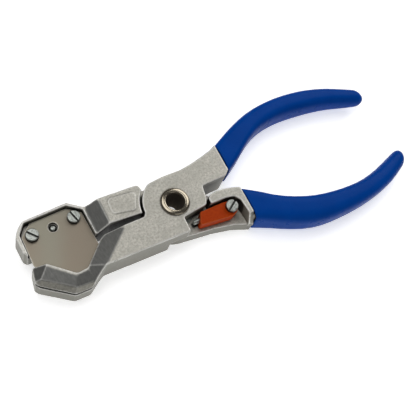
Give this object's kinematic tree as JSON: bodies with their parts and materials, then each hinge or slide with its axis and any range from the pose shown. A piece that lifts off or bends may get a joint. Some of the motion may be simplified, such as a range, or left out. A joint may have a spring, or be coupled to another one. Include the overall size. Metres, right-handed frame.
{
  "type": "plate-blade cutting pliers",
  "caption": "Hand cutting pliers: crossed cast levers on a hollow rivet, a flat plate blade closing into a slotted V jaw, dipped grips and a swinging catch.",
  "frame": {"origin": "Middle of the footprint, on the underside that the tool lies on.", "axes": "+Z is the rivet's axis and points out of the front face with the blade screws; the jaws point to -X and the handles to +X; +Y is towards the jaw that carries the blade."},
  "size_m": [0.2222, 0.0776, 0.0188],
  "materials": {
    "cast_alloy": "tumbled as-cast light alloy, fine mottling, bright worn edges",
    "grip_blue": "glossy dipped vinyl",
    "blade_steel": "flat ground hardened steel with a brown tint",
    "zinc_steel": "zinc-plated steel",
    "rivet_nickel": "warm bright nickel plate",
    "catch_orange": "even satin orange coat"
  },
  "bodies": {
    "blade_lever": {"back_lever": "cast_alloy", "lower_grip": "grip_blue", "blade": "blade_steel", "blade_screw_outer": "zinc_steel", "blade_screw_inner": "zinc_steel", "blade_dowel": "zinc_steel", "pivot_rivet": "rivet_nickel", "rivet_washer": "zinc_steel", "lap_washer": "zinc_steel", "catch_screw": "zinc_steel"},
    "anvil_lever": {"front_lever": "cast_alloy", "upper_grip": "grip_blue"},
    "catch_arm": {"catch": "catch_orange", "catch_pin": "zinc_steel"}
  },
  "joints": [
    {"name": "lever_hinge", "type": "hinge", "parent": "blade_lever", "child": "anvil_lever", "pos_m": [-0.0303, 0.0015, 0.009], "axis": [0, 0, 1], "range_deg": [-3.5, 18]},
    {"name": "catch_hinge", "type": "hinge", "parent": "blade_lever", "child": "catch_arm", "pos_m": [-0.0028, -0.0118, 0.012], "axis": [0, 0, 1], "range_deg": [0, 35]}
  ]
}
